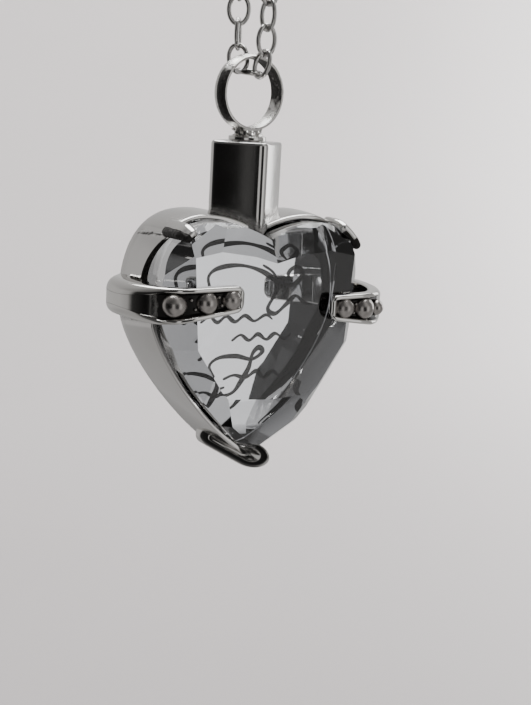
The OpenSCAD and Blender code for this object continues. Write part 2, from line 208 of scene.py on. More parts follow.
# A facet's plane this close to a corner cuts through it, and corners this close become one
SNAP = 0.0005
WELD = 0.002
stone = bmesh.new()
levels = [(TABLE_Y, 0.0), (GIRDLE_Y + GIRDLE_BAND, 0.0), (BACK_Y, -BACK_DRAW)]
skin(stone, [[(x, y, z) for x, z in half_heart(off, STONE_STEPS)] for y, off in levels])
for x_share, z_share, facing, run in CROWN:
    height = LOBE_H if z_share > 0 else FLANK_H
    out = Vector((math.cos(math.radians(facing)), 0, math.sin(math.radians(facing))))
    cut = bmesh.ops.bisect_plane(
        stone, geom=list(stone.verts) + list(stone.edges) + list(stone.faces),
        plane_co=(x_share * HALF_W, TABLE_Y, WIDE_Z + z_share * height),
        plane_no=out - Vector((0, run, 0)), clear_outer=True, dist=SNAP)
    rim = [e for e in cut["geom_cut"] if isinstance(e, bmesh.types.BMEdge)]
    if rim:
        bmesh.ops.contextual_create(stone, geom=rim)
seam = [f for f in stone.faces if all(abs(v.co.x) < 2 * SNAP for v in f.verts)]
bmesh.ops.delete(stone, geom=seam, context="FACES_ONLY")
half_stone = list(stone.verts) + list(stone.edges) + list(stone.faces)
bmesh.ops.mirror(stone, geom=half_stone, axis="X", merge_dist=WELD)
bmesh.ops.dissolve_degenerate(stone, edges=stone.edges, dist=WELD)
for v in stone.verts:
    v.co = at(*v.co)
crystal = new_piece("cut_crystal_heart", stone, cut_glass(), sharp=12)
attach(crystal, "urn")
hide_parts("crystal_heart")

# Scroll. Plain flourishes of black enamel with no letters in them, fired on the flat back of the
# crystal and seen through it. Each is a thin flat stroke that swells and tapers.

SCROLL_Y = BACK_Y + 0.04
SCROLL_T = 0.02
# Each stroke's widest half width, then its points from the middle
STROKES = [
    (0.3, [(-4.2, -2.6), (-4.5, -1.2), (-3.4, -0.35), (-1.0, -0.1), (1.4, -0.7), (3.6, -1.9), (5.2, -2.2),
           (6.3, -1.2), (5.6, -0.3), (4.6, -1.0), (5.1, -1.9)]),
    (0.28, [(1.6, -0.1), (3.0, -1.1), (3.3, -2.8), (2.4, -4.6), (3.3, -5.2), (4.6, -4.2), (5.6, -3.4),
            (6.6, -4.1), (7.6, -4.4)]),
    (0.24, [(-5.2, -5.9), (-4.2, -5.3), (-3.3, -5.9), (-2.3, -5.3), (-1.3, -5.9), (-0.2, -5.3), (0.9, -5.9),
            (2.2, -5.3), (3.0, -5.8)]),
    (0.24, [(-1.6, -7.9), (-0.6, -7.3), (0.4, -7.9), (1.4, -7.3), (2.4, -7.9), (3.4, -7.3), (4.5, -7.9),
            (5.2, -7.4)]),
    (0.3, [(-3.4, -11.6), (-4.0, -10.4), (-3.0, -9.6), (-1.0, -9.5), (0.8, -9.9), (2.0, -9.2), (1.6, -8.7),
           (0.9, -9.3), (0.5, -10.8), (-0.4, -12.3), (-1.2, -13.3), (-2.4, -13.6), (-2.9, -13.0),
           (-2.2, -12.7)]),
    (0.26, [(-2.4, -11.9), (-1.2, -11.5), (0.2, -11.8), (1.4, -11.2), (2.3, -11.9), (3.3, -11.3),
            (4.3, -11.9), (5.2, -11.3)]),
]


def smooth_path(stations, parts):
    """Stations joined by a curve through them, each stretch in so many parts."""
    out = []
    last = len(stations) - 1
    for i in range(last):
        p = [stations[max(i - 1, 0)], stations[i], stations[i + 1], stations[min(i + 2, last)]]
        for k in range(parts):
            t = k / parts
            out.append([0.5 * (2 * p[1][j] + (p[2][j] - p[0][j]) * t
                               + (2 * p[0][j] - 5 * p[1][j] + 4 * p[2][j] - p[3][j]) * t * t
                               + (3 * p[1][j] - p[0][j] - 3 * p[2][j] + p[3][j]) * t**3)
                        for j in range(len(p[1]))])
    return out + [list(stations[-1])]


def ramped(tree, value, stops):
    """A ramp of colours over a value, from places and colours."""
    ramp = add(tree, "ShaderNodeValToRGB", {"Fac": value})
    elements = ramp.color_ramp.elements
    elements.remove(elements[1])
    for k, (place, color) in enumerate(stops):
        stop = elements[0] if k == 0 else elements.new(place)
        stop.position = place
        stop.color = (*color, 1)
    return ramp.outputs["Color"]


def stroke_share(share):
    """A stroke's width along its length: it tapers to its ends and swells between them."""
    return 0.25 + 0.75 * math.sin(math.pi * share) ** 0.5 * (0.72 + 0.28 * math.cos(9 * math.pi * share))


enamel, tree, shader = tree_of("black_enamel")
shader.inputs["Roughness"].default_value = 0.6
shader.inputs["Specular IOR Level"].default_value = 0.0
pitted = ramped(tree, noise(tree, 2500), [(0.0, (0.001, 0.001, 0.001)), (1.0, (0.006, 0.006, 0.007))])
tree.links.new(pitted, shader.inputs["Base Color"])
scroll_mesh = bmesh.new()
for wide, stroke in STROKES:
    line = smooth_path(stroke, 8)
    rows = []
    for i, (x, z) in enumerate(line):
        a, b = line[max(i - 1, 0)], line[min(i + 1, len(line) - 1)]
        along = Vector((b[0] - a[0], 0, b[1] - a[1])).normalized()
        side = Vector((-along.z, 0, along.x)) * wide * stroke_share(i / (len(line) - 1))
        rows.append([at(*(Vector((x, SCROLL_Y + depth * SCROLL_T / 2, z)) + side * edge))
                     for edge, depth in ((-1, -1), (1, -1), (1, 1), (-1, 1))])
    skin(scroll_mesh, rows)
scroll = new_piece("enamel_scroll", scroll_mesh, enamel, smooth=False)
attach(scroll, "urn")

# Heart cup. A cast and polished steel cup whose wall is thick at the flat back and thin at its
# rounded lip. Its front edge dips between each upper claw and arm, and its floor is a mirror.

SEAT_GAP = 0.08
LIP_WALL = 0.45
BACK_WALL = 1.3
FLOOR_T = 0.9
BACK_EDGE = 0.3
BACK_DROP = 0.65
LIP_Y = GIRDLE_Y + 1.7
FLOOR_Y = BACK_Y + SEAT_GAP
CUP_BACK_Y = FLOOR_Y + FLOOR_T
WINDOW_D = 1.8
WINDOW_LOW = WIDE_Z + 1.4
WINDOW_TOP = WIDE_Z + 6.2
FILED_FLAT = 0.13
GROOVE_D = 0.14
CUP_STEPS = 72


def maths(tree, operation, *values, **settings):
    """A sum worked out from values or outputs."""
    node = add(tree, "ShaderNodeMath", dict(enumerate(values)), operation=operation, **settings)
    return node.outputs["Value"]


def mixed(tree, share, a, b, data_type="RGBA", **settings):
    """One colour or value mixed into another."""
    sockets = {"Factor": share, "A": a, "B": b}
    return add(tree, "ShaderNodeMix", sockets, data_type=data_type, **settings).outputs["Result"]


def painted(tree, name, output="Fac"):
    """What a piece's own attribute says, from corner to corner."""
    return add(tree, "ShaderNodeAttribute", attribute_name=name).outputs[output]


def polished_steel(name, tint, roughness, wear=0.05):
    """Mirror-polished steel with hairlines and duller smears. Its marks run from filed rough and painted dark
    at one, the dark standing for shade and dark reflections, over plain at nought to a brighter mirror at
    minus one."""
    material, tree, shader = tree_of(name)
    shader.inputs["Metallic"].default_value = 1.0
    marks_and_painted_dark = painted(tree, "marks_and_painted_dark")
    smear = noise(tree, 260, 4)
    scratch = noise(tree, 1500, 5)
    dull = ranged(tree, smear, 0.35, 0.75, roughness, roughness + wear)
    tone = ramped(tree, smear, [(0.3, [c * 0.93 for c in tint]), (0.7, tint)])
    bright = mixed(tree, maths(tree, "MULTIPLY", marks_and_painted_dark, -1, use_clamp=True), tone, (0.9, 0.91, 0.93, 1))
    # Painted dark: the colour turns nearly black where the marks near one, for shade and dark reflections
    painted_dark_mask = ranged(tree, maths(tree, "MULTIPLY_ADD", scratch, 0.9, marks_and_painted_dark), 0.85, 1.15)
    painted_dark_mixed = mixed(tree, painted_dark_mask, bright, (0.04, 0.038, 0.036, 1), name="painted_dark")
    hairs = add(tree, "ShaderNodeBump", {"Height": noise(tree, 900, 3), "Strength": 0.06, "Distance": 5e-5})
    filed = add(tree, "ShaderNodeBump", {"Height": scratch, "Strength": marks_and_painted_dark, "Distance": 0.0003,
                                         "Normal": hairs.outputs["Normal"]})
    tree.links.new(painted_dark_mixed, shader.inputs["Base Color"])
    tree.links.new(maths(tree, "MULTIPLY_ADD", marks_and_painted_dark, 0.4, dull), shader.inputs["Roughness"])
    tree.links.new(filed.outputs["Normal"], shader.inputs["Normal"])
    return material


def within(value):
    """A value kept between nought and one."""
    return min(1.0, max(0.0, value))


def lip_depth(z):
    """Depth of the wall's front edge at a height: it dips below each upper claw."""
    share = (z - WINDOW_LOW) / (WINDOW_TOP - WINDOW_LOW)
    if share <= 0 or share >= 1:
        return LIP_Y
    return LIP_Y + WINDOW_D * (1 - share**2.2) * within(share * 12)


def wall_off(y):
    """Outer offset of the wall at a depth: thin at the lip, thick towards the back."""
    t = max(0.0, (y - LIP_Y) / (CUP_BACK_Y - BACK_EDGE - LIP_Y))
    return SEAT_GAP + LIP_WALL + (BACK_WALL - LIP_WALL) * (1.6 * t - 0.6 * t * t)


# Height and half width of each filed line across the cup's side
FILED = [(WINDOW_TOP + 0.15, 0.16), (WIDE_Z + 1.85, 0.2), (WIDE_Z - 2.1, 0.16)]


def recess(z):
    """How far the wall between upper claw and arm is filed back, deepest along filed grooves."""
    flat = FILED_FLAT * within((WINDOW_TOP + 0.3 - z) / 0.2) * within((z - WINDOW_LOW) / 0.2)
    return flat + sum(GROOVE_D * math.exp(-((z - groove) / width) ** 2) for groove, width in FILED)


LIP_R = 0.2
INNER_R = 0.12
SIDE_END_Y = CUP_BACK_Y - BACK_EDGE


def cup_profile(i):
    """The wall's section at one place of its outline, from its back over its lip to its floor."""
    z = heart_at(i, SEAT_GAP, CUP_STEPS)[1]
    lip = lip_depth(z)
    front = lip + LIP_R
    out = []
    for k in range(5):
        a = math.radians(22.5 * k)
        off = SEAT_GAP + BACK_WALL - BACK_EDGE * (1 - math.sin(a))
        out.append((off, CUP_BACK_Y - BACK_EDGE * (1 - math.cos(a)), 1.0))
    for k in range(1, 10):
        y = SIDE_END_Y + (front - SIDE_END_Y) * k / 9
        out.append((wall_off(y) - recess(z), y, (y - LIP_Y) / (CUP_BACK_Y - LIP_Y)))
    edge = wall_off(front) - recess(z)
    share = (front - LIP_Y) / (CUP_BACK_Y - LIP_Y)
    for k in range(1, 5):
        a = math.radians(22.5 * k)
        out.append((edge - LIP_R * (1 - math.cos(a)), front - LIP_R * math.sin(a), share))
    for k in range(1, 4):
        a = math.radians(30 * k)
        out.append((SEAT_GAP + INNER_R * (1 - math.sin(a)), lip + INNER_R * (1 - math.cos(a)), 0))
    out.append((SEAT_GAP - BACK_DRAW * 0.97, FLOOR_Y - 0.15, 0))
    out.append((SEAT_GAP - BACK_DRAW - 0.15, FLOOR_Y, 0))
    return out


# Which of a section's points lie on the lip and inside it, and which on the floor
LIP_POINTS = slice(14, 20)
FLOOR_POINTS = slice(-2, None)

bright_steel = polished_steel("polished_setting_steel", (0.64, 0.63, 0.615), 0.1)
cup_mesh = bmesh.new()
cup_marks_and_shade = cup_mesh.verts.layers.float.new("marks_and_painted_dark")
profiles = [cup_profile(i) for i in range(4 * CUP_STEPS)]
cup_rings = []
for k in range(len(profiles[0])):
    ring = []
    for i, profile in enumerate(profiles):
        off, y, drop = profile[k]
        x, z = heart_at(i, off, CUP_STEPS)
        ring.append((x, y, z - BACK_DROP * drop * min(1, (z - TIP_Z) / FLANK_H)))
    cup_rings.append(ring)
cup_loops = skin(cup_mesh, [[at(*p) for p in ring] for ring in cup_rings])
# Painted shade: the wall is darkened in colour along each filed groove, which is also rougher there
for ring, loop in zip(cup_rings, cup_loops):
    for vert, (x, y, z) in zip(loop, ring):
        if LIP_Y < y < CUP_BACK_Y - 0.4:
            nearest = min(abs(z + 0.06 * y - 0.3 - groove) for groove, width in FILED)
            vert[cup_marks_and_shade] = 0.75 * math.exp(-(nearest / 0.2) ** 2)
# Painted shade: between each upper claw and arm the lip and the inside of the wall are darkened in colour,
# where shade falls between wall and crystal
for ring, loop in zip(cup_rings[LIP_POINTS], cup_loops[LIP_POINTS]):
    for vert, (x, y, z) in zip(loop, ring):
        if WINDOW_LOW + 0.2 < z < WINDOW_TOP - 0.1:
            vert[cup_marks_and_shade] = 1.0
for loop in cup_loops[FLOOR_POINTS]:
    for vert in loop:
        vert[cup_marks_and_shade] = -1.0
cup = new_piece("heart_cup", cup_mesh, bright_steel, sharp=35)
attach(cup, "urn")
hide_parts("heart_setting")

# Square ash barrel. A folded and soldered steel box on its corner over the cleft, its upright
# edges softened, its brow rounded, and a round chamber bored down into it for the ashes.

BARREL_SIDE = 6.0
BARREL_EDGE = 0.8
BARREL_SWELL = 0.045
BROW_H = 0.4
BROW_IN = 0.22
AXIS_Y = 6.2
BARREL_TOP = WIDE_Z + 15.55
BARREL_FOOT = CLEFT_Z - 0.4
CHAMBER_R = 1.8
CHAMBER_LOW = BARREL_TOP - 7.4

upper_line = [lobe_point(SEAT_GAP, i / 60) for i in range(61)]


def cleft_height(x):
    """Height of the pocket's upper outline at a distance from the middle."""
    x = abs(x)
    for (x0, z0), (x1, z1) in zip(upper_line, upper_line[1:]):
        if x0 <= x <= x1:
            return z0 + (z1 - z0) * (x - x0) / max(x1 - x0, 1e-6)
    return LOBE_Z


def turned_square(inset, shrink=1.0):
    """Round-cornered square about the axis, stood on its corner, with sides that swell a little."""
    reach = BARREL_SIDE / 2 - BARREL_EDGE
    radius = BARREL_EDGE - inset
    corners = []
    for quarter, (cx, cy) in enumerate(((1, 1), (-1, 1), (-1, -1), (1, -1))):
        for k in range(9):
            a = math.radians(90 * quarter + 90 * k / 8)
            corners.append((cx * reach + radius * math.cos(a), cy * reach + radius * math.sin(a)))
    filled = []
    for (x, y), (nx, ny) in zip(corners, corners[1:] + corners[:1]):
        filled.append((x, y))
        wide = math.hypot(nx - x, ny - y)
        for t in [k / 12 for k in range(1, 12) if wide > 1]:
            swell = BARREL_SWELL * 4 * t * (1 - t)
            filled.append((x + (nx - x) * t + (ny - y) / wide * swell,
                           y + (ny - y) * t - (nx - x) / wide * swell))
    c = math.sqrt(0.5) * shrink
    return [(c * (x - y), AXIS_Y + c * (x + y)) for x, y in filled]


def underside(x, y):
    """Height of the barrel's foot: on the pocket's outline, and lower behind the cup."""
    if y > CUP_BACK_Y - 0.1:
        return BARREL_FOOT
    return cleft_height(x)


barrel_mesh = bmesh.new()
barrel_rings = []
for shrink in (0.05, 0.25, 0.45, 0.6, 0.7, 0.78, 0.86, 0.93, 0.97, 1.0):
    barrel_rings.append([at(x, y, underside(x, y)) for x, y in turned_square(0, shrink)])
for share in (0.03, 0.06, 0.1, 0.14, 0.2, 0.3, 0.5, 0.75, 0.95):
    barrel_rings.append([at(x, y, underside(x, y) + share * (BARREL_TOP - BROW_H - underside(x, y)))
                         for x, y in turned_square(0)])
for k in range(7):
    a = math.radians(90 * k / 6)
    barrel_rings.append([at(x, y, BARREL_TOP - BROW_H * (1 - math.sin(a)))
                         for x, y in turned_square(BROW_IN * (1 - math.cos(a)))])
rim_round = [(x, y, math.atan2(y - AXIS_Y, x)) for x, y in turned_square(BROW_IN)]
MOUTH_R = CHAMBER_R + 0.12
for share in (0.5, 1.0):
    barrel_rings.append([at(x + share * (MOUTH_R * math.cos(a) - x),
                            y + share * (AXIS_Y + MOUTH_R * math.sin(a) - y), BARREL_TOP)
                         for x, y, a in rim_round])
for radius, z in ((CHAMBER_R + 0.03, BARREL_TOP - 0.03), (CHAMBER_R, BARREL_TOP - 0.12),
                  (CHAMBER_R, CHAMBER_LOW + 0.4), (CHAMBER_R - 0.3, CHAMBER_LOW)):
    barrel_rings.append([at(radius * math.cos(a), AXIS_Y + radius * math.sin(a), z) for x, y, a in rim_round])
# The lowest rings are painted dark as shade at the barrel's foot, where it meets the cup
FOOT_RINGS = 14
barrel_foot_marks_and_shade = barrel_mesh.verts.layers.float.new("marks_and_painted_dark")
for loop in skin(barrel_mesh, barrel_rings)[:FOOT_RINGS]:
    for vert in loop:
        x, y, z = (vert.co - home) / MM
        vert[barrel_foot_marks_and_shade] = max(0.0, 0.62 - 0.35 * (z - underside(x, y)))
barrel = new_piece("ash_barrel", barrel_mesh, bright_steel, sharp=32)
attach(barrel, "urn")
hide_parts("heart_setting")

# Beaded arms. Two cast steel arms leave the cup's sides, bulge outwards and wrap round the front
# of the crystal. Between two bright rims each has a dark channel with a row of ball beads.

ARM_BASE_H = 3.6
ARM_TIP_H = 2.5
ARM_T = 1.15
ARM_BULGE = 3.85
ARM_RIM = 0.4
ARM_FALL = 0.55
CHANNEL_D = 0.5
BEAD_PROUD = 0.38
GRAIN_R = 0.17
ARM_ROOT_X = HALF_W + 1.6
ARM_FRONT = TABLE_Y - 0.22 - ARM_T
# From the root forwards: share of the bulge, depth, thickness, edge radius and depth of the channel
ARM_PATH = [
    (0.5, 8.2, 1.3, 0.5, 0),
    (0.8, 7.2, 1.8, 0.9, 0),
    (0.97, 6.1, 2.1, 1.1, 0),
    (1, 4.8, 2.15, 1.2, 0),
    (0.96, 3.3, 2, 1.2, 0),
    (0.85, 1.9, 1.8, 1.1, 0),
    (0.69, 0.6, 1.6, 0.9, 0),
    (0.52, -0.4, 1.4, 0.7, 0.35),
    (0.32, -1.35, 1.25, 0.45, 0.9),
    (0.08, -2.15, 1.15, 0.25, 1),
]
# Side, place of the tip, height, rise towards the tip, and each bead's distance from it and radius
ARMS = [
    (-1, 4.0, 0.3, 0.75, [(1.3, 1.1), (3.85, 1.25), (6.85, 1.28)]),
    (1, 5.6, -0.55, 0.35, [(1.9, 1.15), (4.2, 1.2), (6.1, 0.85)]),
]


def arm_steel():
    """Bright on the rims and beads, black where the casting kept its dark finish."""
    material = polished_steel("arm_steel", (0.66, 0.65, 0.63), 0.08)
    tree = material.node_tree
    shader = tree.nodes["Principled BSDF"]
    dark = maths(tree, "MULTIPLY_ADD", noise(tree, 1400, 4), 0.7, painted(tree, "dark_finish"))
    edge = ranged(tree, dark, 0.75, 1.05)
    for name, dark_value, kind in (("Base Color", (0.03, 0.029, 0.028, 1), "RGBA"),
                                   ("Roughness", 0.42, "FLOAT")):
        socket = shader.inputs[name]
        tree.links.new(mixed(tree, edge, socket.links[0].from_socket, dark_value, kind), socket)
    return material


def arm_share(x, reach):
    """How far back a place is on an arm, from nought at its tip to one at its root."""
    return within((x - reach) / (ARM_ROOT_X - reach))


def arm_middle(x, reach, z, rise):
    """Height of an arm's middle line."""
    return WIDE_Z + z + rise * (1 - arm_share(x, reach))


def arm_half_height(x, reach):
    end = within((x - reach + 0.02) / 0.75)
    full_h = ARM_TIP_H + (ARM_BASE_H - ARM_TIP_H) * arm_share(x, reach)
    return full_h / 2 * (0.25 + 0.75 * math.sqrt(1 - (1 - end) ** 2))


def arm_section(thick, edge, channel, half):
    """Outline of an arm's section: outwards from its inner face, upwards, and how dark it is there."""
    brink = half - max(edge, ARM_RIM)
    deep = channel * CHANNEL_D
    side = [(0.12, half, 0), (thick - edge, half, 0)]
    for i in range(1, 6):
        q = math.radians(15 * i)
        side.append((thick - edge + edge * math.sin(q), half - edge + edge * math.cos(q), 0))
    side += [(thick, half - edge, 0), (thick, brink + 0.03, 0),
             (thick - 0.04 * channel, brink - 0.02, 0.3 * channel),
             (thick - 0.5 * deep, brink - 0.1 * channel, 0.8 * channel),
             (thick - deep, brink - 0.3 * channel, channel),
             (thick - deep, max(brink - 0.3 * channel, 0) * 0.5, channel)]
    down = [(out, -up, dark) for out, up, dark in reversed(side)]
    return side + down + [(0.0, 0.12 - half, 0), (0.0, half - 0.12, 0)]


def set_ball(bm, arm, away, depth, across, radius, segments, rings):
    """One ball on an arm, so far from its tip and behind its front, and to one side of its middle."""
    hand, reach, z_off, rise, beads = arm
    x = reach + away
    fall = ARM_FALL * max(0.0, x - HALF_W + 0.9)
    verts = bmesh.ops.create_uvsphere(bm, u_segments=segments, v_segments=rings, radius=radius * MM)["verts"]
    height = arm_middle(x, reach, z_off, rise) + across * arm_half_height(x, reach)
    bmesh.ops.translate(bm, verts=verts, vec=at(hand * x, ARM_FRONT + depth + fall, height))
    return verts, fall


dark_steel = arm_steel()
# Painted shade: the beads get a darker copy of the steel, so that their middles look dark
painted_shade_bead_steel = polished_steel("painted_shade_bead_steel", (0.38, 0.36, 0.345), 0.22, 0.12)
for arm_values in ARMS:
    hand, reach, z_off, rise, beads = arm_values
    side_name = "left" if hand < 0 else "right"
    front = HALF_W - 1.3
    run = [[HALF_W + bulge * ARM_BULGE, *rest] for bulge, *rest in ARM_PATH]
    run.append([HALF_W - 0.4, ARM_FRONT + 0.25, ARM_T, 0.2, 1])
    run.append([front, ARM_FRONT + 0.06, ARM_T, 0.2, 1])
    run += [[front + (reach + 1.3 - front) * i / 6, ARM_FRONT, ARM_T, 0.2, 1] for i in range(1, 7)]
    run += [[reach + 0.85, ARM_FRONT, ARM_T, 0.25, 0.6],
            [reach + 0.5, ARM_FRONT + 0.04, ARM_T - 0.04, 0.28, 0.1],
            [reach + 0.22, ARM_FRONT + 0.14, ARM_T - 0.2, 0.28, 0],
            [reach + 0.05, ARM_FRONT + 0.3, ARM_T - 0.45, 0.25, 0],
            [reach, ARM_FRONT + 0.45, ARM_T - 0.75, 0.15, 0]]
    path = smooth_path(run, 4)
    arm_mesh = bmesh.new()
    finish = arm_mesh.verts.layers.float.new("dark_finish")
    rings = []
    shades = []
    for i, (x, y, thick, edge, channel) in enumerate(path):
        a, b = path[max(i - 1, 0)], path[min(i + 1, len(path) - 1)]
        along = Vector((b[0] - a[0], b[1] - a[1], 0)).normalized()
        mid = arm_middle(x, reach, z_off, rise)
        half = arm_half_height(x, reach)
        channel = within(channel) if half > ARM_RIM * 1.3 else 0.0
        section = arm_section(thick, min(edge, half * 0.9), channel, half)
        rings.append([at(hand * (x - along.y * (out - thick)), y + along.x * (out - thick), mid + up)
                      for out, up, dark in section])
        shades.append([dark for out, up, dark in section])
    for loop, shade in zip(skin(arm_mesh, rings), shades):
        for vert, dark in zip(loop, shade):
            vert[finish] = dark
    arm = new_piece("beaded_arm_" + side_name, arm_mesh, dark_steel, sharp=40)
    ball_mesh = bmesh.new()
    for away, radius in beads:
        ball, fall = set_ball(ball_mesh, arm_values, away, radius - BEAD_PROUD, 0, radius, 40, 24)
        faces = {f for v in ball for f in v.link_faces}
        edges = {e for v in ball for e in v.link_edges}
        bottom = bmesh.ops.bisect_plane(
            ball_mesh, geom=ball + list(edges) + list(faces), plane_no=(0, 1, 0), clear_outer=True,
            plane_co=at(0, ARM_FRONT + ARM_T - 0.1 + fall, 0), dist=0.000001)
        rim = [e for e in bottom["geom_cut"] if isinstance(e, bmesh.types.BMEdge)]
        if rim:
            bmesh.ops.contextual_create(ball_mesh, geom=rim)
    for near, far in zip(beads, beads[1:]):
        gap_in, gap_out = near[0] + near[1] * 0.7, far[0] - far[1] * 0.7
        for share, across in ((0.32, -0.3), (0.68, 0.3)):
            away = gap_in + (gap_out - gap_in) * share
            set_ball(ball_mesh, arm_values, away, 0.42, across, GRAIN_R, 16, 10)
    balls = new_piece("arm_beads_" + side_name, ball_mesh, painted_shade_bead_steel, sharp=60)
    for piece in (arm, balls):
        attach(piece, "urn")
        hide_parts("heart_setting")

# Claws. Two rounded tabs are bent from the cup's front edge in over the crystal's shoulders, and
# a boat-shaped one is folded up round its tip. They are filed round and polished with the cup.

CLAW_R = 0.44
# Which of a section's points lie round its lower edge and on its underside, which get painted shade
UNDERSIDE = slice(6, 24)
# Side, places along the lobe's curve at the root and at the tip, and the bend: offset and depth
UPPER_CLAWS = [
    (-1, 0.655, 0.72, 0.672, 0.705, [(0.57, LIP_Y + 0.6), (0.57, GIRDLE_Y + 0.4), (0.57, GIRDLE_Y - 0.55),
                                    (0.52, GIRDLE_Y - 1.05), (0.3, GIRDLE_Y - 1.55), (0.14, GIRDLE_Y - 2.0)]),
    (1, 0.62, 0.79, 0.64, 0.775, [(0.57, LIP_Y + 0.6), (0.57, GIRDLE_Y + 0.7), (0.55, GIRDLE_Y + 0.1),
                                  (0.48, GIRDLE_Y - 0.4), (0.36, GIRDLE_Y - 0.8), (0.25, GIRDLE_Y - 1.1)])]

for hand, from_0, to_0, from_1, to_1, bend in UPPER_CLAWS:
    bend = smooth_path(bend, 5)
    stations = []
    for i, (off, y) in enumerate(bend):
        a, b = bend[max(i - 1, 0)], bend[min(i + 1, len(bend) - 1)]
        length = math.hypot(b[0] - a[0], b[1] - a[1])
        taper = (i / (len(bend) - 1)) ** 2
        stations.append((off, y, (b[0] - a[0]) / length, (b[1] - a[1]) / length, CLAW_R, taper))
    off, y, go_off, go_y, r, taper = stations[-1]
    for k in range(1, 7):
        q = math.radians(15 * k)
        ahead = 0.5 * r * math.sin(q)
        stations.append((off + ahead * go_off, y + ahead * go_y, go_off, go_y, max(r * math.cos(q), 0.02), 1))
    claw_rings = []
    for off, y, go_off, go_y, r, taper in stations:
        low, high = from_0 + (from_1 - from_0) * taper, to_0 + (to_1 - to_0) * taper
        row = [Vector((x, y, z)) for x, z in [lobe_point(off, low + (high - low) * k / 8) for k in range(9)]]
        lifts = []
        for a, b in zip([row[0]] + row[:-1], row[1:] + [row[-1]]):
            along = (b - a).normalized()
            side = Vector((-along.z, 0, along.x))
            lifts.append((side if side.x > 0 else -side) * -go_y + Vector((0, 1, 0)) * go_off)
        ring = [p + lift * r for p, lift in zip(row, lifts)]
        back_row = [p - lift * r for p, lift in zip(reversed(row), reversed(lifts))]
        for end, inner, lift, way, onwards in ((row[-1], row[-2], lifts[-1], 1, back_row),
                                               (row[0], row[1], lifts[0], -1, [])):
            along = (end - inner).normalized()
            for k in range(1, 8):
                q = math.radians(22.5 * k)
                ring.append(end + (lift * way * math.cos(q) + along * math.sin(q)) * r)
            ring += onwards
        claw_rings.append([at(hand * p.x, p.y, p.z) for p in ring])
    claw_mesh = bmesh.new()
    claw_marks_and_shade = claw_mesh.verts.layers.float.new("marks_and_painted_dark")
    for loop in skin(claw_mesh, claw_rings):
        # Painted shade: the claw's lower edge and underside are darkened in colour
        for vert in loop[UNDERSIDE]:
            vert[claw_marks_and_shade] = 1.0
    claw = new_piece("upper_claw_left" if hand < 0 else "upper_claw_right", claw_mesh, bright_steel, sharp=50)
    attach(claw, "urn")
    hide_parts("heart_setting")

TIP_R = 1.4
TIP_LEFT_R = 1.1
TIP_RUN = 2.5
TIP_RISE = 1.05
TIP_SHIFT = 0.3
TIP_WALL = 0.7
TIP_Y0 = TABLE_Y + 1.2
TIP_Y1 = CUP_BACK_Y - 1.6
TIP_LOW = TIP_Z - 0.1
TIP_BEVEL = 0.35
TIP_EDGE_R = 0.3
TIP_RIM_R = 0.12
# What is left of the tip claw's depth at its thin end
TIP_LEFT_D = 1.3


def boat(grow, n=24):
    """Outline of the tip claw from the front, two round ends and the straight sides between them."""
    ends = [(-TIP_SHIFT, TIP_LOW, TIP_R + grow),
            (-TIP_SHIFT - TIP_RUN, TIP_LOW + TIP_RISE, TIP_LEFT_R + grow)]
    slope = math.atan2(TIP_RISE, -TIP_RUN)
    lean = math.acos((TIP_R - TIP_LEFT_R) / math.hypot(TIP_RUN, TIP_RISE))
    points = []
    for (x, z, r), first, last in ((ends[1], slope - lean, slope + lean),
                                   (ends[0], slope + lean, slope + 2 * math.pi - lean)):
        for k in range(n + 1):
            a = first + (last - first) * k / n
            points.append((x + r * math.cos(a), z + r * math.sin(a)))
    return points


def claw_face(x):
    """Depth of the tip claw's slanting front face at a distance from the middle."""
    right, left = TIP_R - TIP_SHIFT, TIP_LEFT_R + TIP_RUN + TIP_SHIFT
    return TIP_Y0 + (TIP_Y1 - TIP_LEFT_D - TIP_Y0) * (right - x) / (right + left)


boat_back = TIP_Y1 - TIP_BEVEL
boat_mesh = bmesh.new()
boat_rings = [[at(x, TIP_Y1, z) for x, z in boat(-TIP_BEVEL)],
              [at(x, TIP_Y1 - 0.1, z) for x, z in boat(-0.12)]]
for share in (0.0, 0.3, 0.6, 0.85):
    boat_rings.append([at(x, boat_back + share * (claw_face(x) + TIP_EDGE_R - boat_back), z)
                       for x, z in boat(0)])
for k in range(5):
    a = math.radians(22.5 * k)
    boat_rings.append([at(x, claw_face(x) + TIP_EDGE_R * (1 - math.sin(a)), z)
                       for x, z in boat(-TIP_EDGE_R * (1 - math.cos(a)))])
for k in range(4):
    a = math.radians(30 * k)
    boat_rings.append([at(x, claw_face(x) + TIP_RIM_R * (1 - math.cos(a)), z)
                       for x, z in boat(TIP_RIM_R - TIP_WALL - TIP_RIM_R * math.sin(a))])
for inset, floor_y in ((0.05, LIP_Y - 0.2), (0.2, LIP_Y)):
    boat_rings.append([at(x, max(claw_face(x) + TIP_RIM_R, floor_y), z) for x, z in boat(-TIP_WALL - inset)])
skin(boat_mesh, boat_rings)
tip_claw = new_piece("tip_claw", boat_mesh, bright_steel, sharp=50)
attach(tip_claw, "urn")
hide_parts("heart_setting")

# Screw plug. One soldered piece: a flat steel band bent into a bail ring, a rough weld where it
# meets the round head disc, and a screwed shank that closes the ash chamber.

RING_R = 3.85
RING_T = 0.48
RING_W = 1.85
RING_TURN = math.radians(9)
HEAD_R = 1.9
HEAD_T = 0.45
NECK_H = 0.65
SEAT_Z = BARREL_TOP + 0.06
RING_Z = SEAT_Z + HEAD_T + NECK_H + RING_R - RING_T / 2
SHANK_L = 4.6
CREST_R = CHAMBER_R - 0.06
THREAD_D = 0.25
THREAD_PITCH = 0.6


def turned(x, y, z):
    """A point of the ring's own frame, whose x runs across the ring and y along its bore."""
    return at(x * math.cos(RING_TURN) - y * math.sin(RING_TURN),
              AXIS_Y + x * math.sin(RING_TURN) + y * math.cos(RING_TURN), z)


def circle(steps):
    """The angles of so many equal steps round."""
    return [2 * math.pi * k / steps for k in range(steps)]


